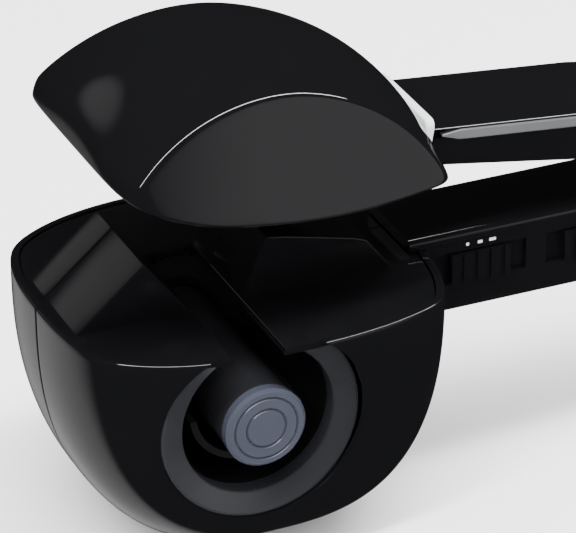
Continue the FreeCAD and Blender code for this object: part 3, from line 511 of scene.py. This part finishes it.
def dome_measure(x, y, z, inset, sharpness):
    """Below 1 inside the dome: under the arch, between the leaning sides, within the plan."""
    arch_end = np.where(x > ARCH_X, ARCH_REAR, ARCH_FRONT) - inset
    power = ARCH_POWER
    height = np.maximum(z + ARCH_CROWN * (y / DOME_HALF) ** 2, 0)
    arch = ((np.abs(x - ARCH_X) / arch_end) ** power + (height / (ARCH_RISE - inset)) ** power) ** (1 / power)
    half = DOME_HALF - inset
    side = (np.abs(y) + SIDE_LEAN * z + SIDE_BULGE * ((x - 2.0) / 55.0) ** 2) / half
    reach = np.where(x > DOME_X, DOME_REAR, DOME_FRONT) - inset
    plan_power = np.where(x > DOME_X, DOME_REAR_POWER, DOME_FRONT_POWER)
    plan = ((np.abs(x - DOME_X) / reach) ** plan_power + (np.abs(y) / half) ** plan_power) ** (1 / plan_power)
    return (arch ** sharpness + side ** sharpness + plan ** sharpness) ** (1 / sharpness)


def dome_surface(turn, lift, inset, sharpness):
    """Points where rays from the middle of the dome's rim plane leave the dome."""
    way = np.stack([np.cos(lift) * np.cos(turn), np.cos(lift) * np.sin(turn), np.sin(lift)], -1)
    low, high = np.full(turn.shape, 5.0), np.full(turn.shape, 90.0)
    for _ in range(36):
        middle = (low + high) / 2
        spot = way * middle[..., None]
        inside = dome_measure(spot[..., 0] + DOME_X, spot[..., 1], spot[..., 2], inset, sharpness) < 1
        low, high = np.where(inside, middle, low), np.where(inside, high, middle)
    spot = way * low[..., None]
    spot[..., 0] += DOME_X
    spot[..., 2] += DOME_RIM
    return spot


def belly(x):
    """The dome's lower edge curves up towards its front and rear."""
    return DOME_RIM + np.where(x > BELLY_X, BELLY_REAR, BELLY_FRONT) * (x - BELLY_X) ** 2


def edge_lift(turns, inset, sharpness):
    """The angle above the rim plane at which the dome's lower edge lies, for each direction."""
    low, high = np.full(turns.shape, -0.1), np.full(turns.shape, 0.6)
    for _ in range(24):
        middle = (low + high) / 2
        spot = dome_surface(turns, middle, inset, sharpness)
        above = spot[:, 2] > belly(spot[:, 0])
        low, high = np.where(above, low, middle), np.where(above, middle, high)
    return high


DOME_COLUMNS = 840
DOME_ROWS = 210
LIP_RADIUS = 0.7


def dome_layer(inset, sharpness, lip):
    """Rows of points from the lower edge to the crown, with the edge rounded by lip."""
    turns = np.linspace(0, 2 * math.pi, DOME_COLUMNS, endpoint=False)
    start = edge_lift(turns, inset, sharpness)
    shares = list(np.linspace(0, 1, DOME_ROWS)[:-1])
    drops = [0.0] * len(shares)
    if lip:
        steps = np.array([0.0, 0.06, 0.2, 0.42, lip])
        shares = list(steps / 70.0) + [share for share in shares if share > 0.012]
        drops = [lip - math.sqrt(lip ** 2 - (lip - step) ** 2) for step in steps] + [0.0] * len(shares)
    rows = []
    for share, drop in zip(shares, drops):
        lifts = start + (math.pi / 2 - start) * share
        spot = dome_surface(turns, lifts, inset, sharpness)
        middle = np.array([DOME_X, 0.0, DOME_RIM])
        away = spot - middle
        rows.append(spot - away / np.linalg.norm(away, axis=1, keepdims=True) * drop)
    crown = dome_surface(np.zeros(1), np.full(1, math.pi / 2), inset, sharpness)
    return np.concatenate(rows + [crown]), len(rows)


def dome():
    points, faces, starts = [], [], []
    for inset, sharpness, lip in ((0.0, 130.0, LIP_RADIUS), (2.6, 30.0, 0.0)):
        layer, rows = dome_layer(inset, sharpness, lip)
        start = len(points)
        starts.append(start)
        points += list(layer)
        faces += grid_faces(rows, DOME_COLUMNS, start, True)
        last = start + (rows - 1) * DOME_COLUMNS
        faces += [(last + column, last + (column + 1) % DOME_COLUMNS, last + DOME_COLUMNS)
                  for column in range(DOME_COLUMNS)]
    faces += [(starts[0] + column, starts[0] + (column + 1) % DOME_COLUMNS,
               starts[1] + (column + 1) % DOME_COLUMNS, starts[1] + column) for column in range(DOME_COLUMNS)]
    look = LOOKS["black_gloss"]
    obj = make_piece("dome_skin", opened(points), faces, look, None)
    low, block = block_data((44, -17.3, 66), (90, 17.3, 94.2))
    cut_away(obj, cutter_mesh(opened(low), block))
    finish_piece(obj, look, "upper_jaw", 30)
    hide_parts("dome_shell")


# ---- guides ---------------------------------------------------------------------------------------

def bevelled(name, outline, near, far, look, body, width=0.5, segments=3, axis="Y"):
    """A prism with rounded edges: an outline in X and Z along Y, or for axis Z in X and Y along Z."""
    count = len(outline)
    if axis == "Y":
        points = [(a, near, b) for a, b in outline] + [(a, far, b) for a, b in outline]
    else:
        points = [(a, b, near) for a, b in outline] + [(a, b, far) for a, b in outline]
    faces = [tuple(range(count)), tuple(range(2 * count - 1, count - 1, -1))]
    faces += [(i, (i + 1) % count, count + (i + 1) % count, count + i) for i in range(count)]
    mesh = bpy.data.meshes.new(name)
    mesh.from_pydata([tuple(float(value) * MM for value in point) for point in points], [], faces)
    work = bmesh.new()
    work.from_mesh(mesh)
    bmesh.ops.recalc_face_normals(work, faces=work.faces)
    sharp = [edge for edge in work.edges if edge.calc_face_angle(0) > math.radians(18)]
    bmesh.ops.bevel(work, geom=sharp, offset=width * MM, segments=segments, profile=0.6, affect="EDGES",
                    clamp_overlap=True)
    work.to_mesh(mesh)
    work.free()
    obj = bpy.data.objects.new(name, mesh)
    bpy.context.collection.objects.link(obj)
    finish_piece(obj, look, body, 25)
    return obj


DECK_TOP = 74.6
DECK_LOW = 72.2
COVER_SEAM = 5.0
WEDGE_FAR = 17.0
FRONT_WEDGE = [(-45.0, 73.6), (-45.0, DECK_TOP), (-24.0, 92.4), (-10.3, DECK_TOP + 0.2), (-10.3, 73.6)]
REAR_WEDGE = [(5.8, 73.6), (5.8, DECK_TOP + 0.2), (10.6, 88.3), (12.4, 92.6), (13.4, 93.1), (20.0, 91.9),
              (40.0, 87.0), (44.0, 85.5), (51.0, 76.6), (51.5, 73.6)]


def deck_outline(low, high, side):
    """The head's inner outline between two X places on one side of the cover seam."""
    turns = np.linspace(0, 2 * math.pi, 400, endpoint=False)
    reach = bowl_reach(turns, DECK_LOW, 1.0, WALL + 0.3)
    x, y = reach * np.cos(turns) + HEAD_X, reach * np.sin(turns)
    keep = (x > low) & (x < high) & ((y - COVER_SEAM) * side > 0)
    order = np.argsort(np.arctan2(y[keep] - COVER_SEAM, x[keep] - HEAD_X))
    return list(zip(x[keep][order], y[keep][order]))


def guides():
    look = LOOKS["black_gloss"]
    gap = 0.12
    front = deck_outline(-90, SLOT_FRONT - gap, -1)
    front += [(SLOT_FRONT - gap, front[-1][1]), (SLOT_FRONT - gap, COVER_SEAM - gap),
              (front[0][0], COVER_SEAM - gap)]
    piece = bevelled("guide_front_deck", front, DECK_LOW, DECK_TOP, look, "lower_body", 0.35, axis="Z")
    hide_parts("guide_front_near")
    bevelled("guide_front_wedge", FRONT_WEDGE, -19.0, COVER_SEAM - gap, look, "lower_body", 0.5)
    rear = deck_outline(SLOT_REAR + gap, 90, -1)
    rear += [(rear[-1][0], COVER_SEAM - gap), (SLOT_REAR + gap, COVER_SEAM - gap),
             (SLOT_REAR + gap, rear[0][1])]
    piece = bevelled("guide_rear_deck", rear, DECK_LOW, DECK_TOP, look, "lower_body", 0.35, axis="Z")
    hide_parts("guide_rear_near")
    bevelled("guide_rear_wedge", REAR_WEDGE, -19.0, COVER_SEAM - gap, look, "lower_body", 0.9, segments=5)
    far = deck_outline(-90, 90, 1)
    far += [(far[-1][0], COVER_SEAM + gap), (SLOT_FRONT, COVER_SEAM + gap), (SLOT_FRONT, WEDGE_FAR),
            (SLOT_REAR, WEDGE_FAR), (SLOT_REAR, COVER_SEAM + gap), (far[0][0], COVER_SEAM + gap)]
    piece = bevelled("guide_far_deck", far, DECK_LOW, DECK_TOP, look, "lower_body", 0.35, axis="Z")
    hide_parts("guide_cover_far")
    bevelled("guide_front_wedge_far", FRONT_WEDGE, COVER_SEAM + gap, WEDGE_FAR, look, "lower_body", 0.5)
    bevelled("guide_rear_wedge_far", REAR_WEDGE, COVER_SEAM + gap, WEDGE_FAR, look, "lower_body", 0.9,
             segments=5)


# ---- arms -----------------------------------------------------------------------------------------

UNDER = 79.6
UPPER_THIN = 13.6
UPPER_START = 61.5
UPPER_BEND = 120.0
UPPER_END = 192.0
CROWN = 3.0
TRIM = 2.6
UPPER_HALF = 17.0
LOWER_HALF = 14.0
LID_SEAM = 75.0
LID_TOP = 79.0
LID_ROLL = 2.4


def upper_top(x):
    return UNDER + UPPER_THIN + 0.071 * (min(x, UPPER_BEND) - 54.0)


def arm_stations(start, end):
    return [start] + [x for x in np.linspace(60, 190, 27) if start + 1 < x < end - 1] + [end]


def swept(name, sections, look, body, smooth=35, swing=True):
    """A closed skin through equal-length section loops, capped at both ends."""
    count = len(sections[0])
    points = [point for loop in sections for point in loop]
    faces = grid_faces(len(sections), count, 0, True)
    faces += [tuple(range(count)), tuple(range(len(points) - 1, len(points) - count - 1, -1))]
    return make_piece(name, opened(points) if swing else points, faces, look, body, smooth)


def round_corner(y, z, radius, start, steps=7):
    """Quarter-circle corner points about a centre, from a start angle in degrees."""
    return [(y + radius * math.cos(math.radians(start + 90 * step / (steps - 1))),
             z + radius * math.sin(math.radians(start + 90 * step / (steps - 1)))) for step in range(steps)]


def cover_loop(x, inset=0.0):
    """Section of the upper arm's crowned cover: a soft arch with rolled edges over a recessed foot."""
    top = upper_top(x)
    half = UPPER_HALF - inset
    loop = [(-half + 1.9, top - CROWN - TRIM), (-half + 1.9, top - CROWN)]
    loop += [(-y, z) for y, z in round_corner(half - 0.5, top - CROWN + 0.5, 0.5, -90, 5)]
    for share in np.linspace(0, 1, 15):
        y = -half + share * 2 * half
        loop.append((y * 0.985, top - CROWN + 0.7 + (CROWN - 0.7) * (1 - (y / half) ** 2)))
    loop += [(y, z) for y, z in round_corner(half - 0.5, top - CROWN + 0.5, 0.5, -90, 5)][::-1]
    loop += [(half - 1.9, top - CROWN), (half - 1.9, top - CROWN - TRIM)]
    return [(x, y, z) for y, z in loop]


def upper_arm():
    cover = swept("upper_arm_lid", [cover_loop(x) for x in arm_stations(UPPER_START, UPPER_END)],
                  LOOKS["black_gloss"], "upper_jaw", 40)
    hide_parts("upper_arm_cover")
    for side, label in ((-1, "near"), (1, "far")):
        loops = []
        for x in arm_stations(UPPER_START + 3.0, UPPER_END - 6):
            top = upper_top(x) - CROWN - 0.12
            low = top - TRIM - 0.6
            near_start = min(1.0, (x - UPPER_START - 2.9) / 3.0) ** 0.5
            middle = (top + low) / 2
            rise = (top - low) / 2 * near_start
            face = UPPER_HALF + 0.35 * near_start
            section = [(UPPER_HALF - 1.7, middle - rise), (face - 0.3, middle - rise),
                       (face, middle - rise * 0.75), (face, middle + rise * 0.75),
                       (face - 0.3, middle + rise), (UPPER_HALF - 1.7, middle + rise)]
            loops.append([(x, side * y, z) for y, z in section])
        # these strips form a ledge along the arm's top edges; their grey colour is a painted reflection of
        # the light on that edge
        strip = swept(f"arm_trim_{label}", loops, LOOKS["trim_grey"], "upper_jaw", 30)
    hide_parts("arm_trim_strips")


def arm_highlight_collar():
    """A pale lip where the upper arm leaves the dome; its pale colour is a painted highlight on the dome's
    rear edge.
    """
    loops = []
    for x, grow in ((58.2, -0.2), (58.4, 0.35), (58.8, 0.6), (60.8, 0.6), (61.2, 0.35), (61.4, -0.2)):
        half, low, top = UPPER_HALF + grow, UNDER + 3.0 - grow, upper_top(x) + grow
        loop = round_corner(half - 2.5, top - 2.5, 2.5, 0) + round_corner(2.5 - half, top - 2.5, 2.5, 90)
        loop += round_corner(2.0 - half, low + 2.0, 2.0, 180) + round_corner(half - 2.0, low + 2.0, 2.0, 270)
        loops.append([(x, y, z) for y, z in loop])
    collar = swept("arm_highlight_collar", loops, COLLAR_PAINTED_HIGHLIGHT, "upper_jaw", 30)


def lower_lid():
    """The lower arm's flat lid with a broad rolled edge."""
    loops = []
    for x in [60.0, 64.0] + list(np.linspace(70, 190, 25)):
        half, low, top, radius = LOWER_HALF, LID_SEAM + 0.1, LID_TOP, LID_ROLL
        loop = [(-half, low), (half, low)]
        loop += round_corner(half - radius, top - radius, radius, 0)
        loop += round_corner(radius - half, top - radius, radius, 90)
        loops.append([(x, y, z) for y, z in loop])
    lid = swept("lower_arm_lid", loops, LOOKS["black_gloss"], "lower_body", 40, swing=False)
    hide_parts("lower_arm_cover")


RECESS_FIRST = 67.5
RECESS_PITCH = 36.5
RECESS_LENGTH = 30.0
MARK_LOW = 73.5
MARK_HIGH = 74.4
TICKS = ((-4.0, 0.9), (0.0, 1.5), (4.0, 2.1))


def marks():
    """Plain ticks of growing width above each switch, standing for its settings."""
    for number in range(3):
        middle = RECESS_FIRST + RECESS_PITCH * number + RECESS_LENGTH / 2
        for index, (offset, width) in enumerate(TICKS):
            left, right = middle + offset - width / 2, middle + offset + width / 2
            outline = [(left, MARK_LOW), (right, MARK_LOW), (right, MARK_HIGH), (left, MARK_HIGH)]
            bevelled(f"mark_{number}_{index}", outline, -LOWER_HALF - 0.06, -LOWER_HALF + 0.1, MARK_PAINT,
                     "lower_body", 0.03, segments=1)


# ---- what stays from the frame gets its finish ------------------------------------------------------

def dress_frame():
    finishes = {entry["node"]: entry["material_slot"] for entry in frame["record"]["subparts"]}
    for name, obj in nodes.items():
        look = LOOKS[finishes[name]]
        obj.data.materials.clear()
        obj.data.materials.append(look)


make_camera()
make_floor()
make_lights()
bowl()
bezel()
dome()
guides()
upper_arm()
arm_highlight_collar()
lower_lid()
marks()
dress_frame()
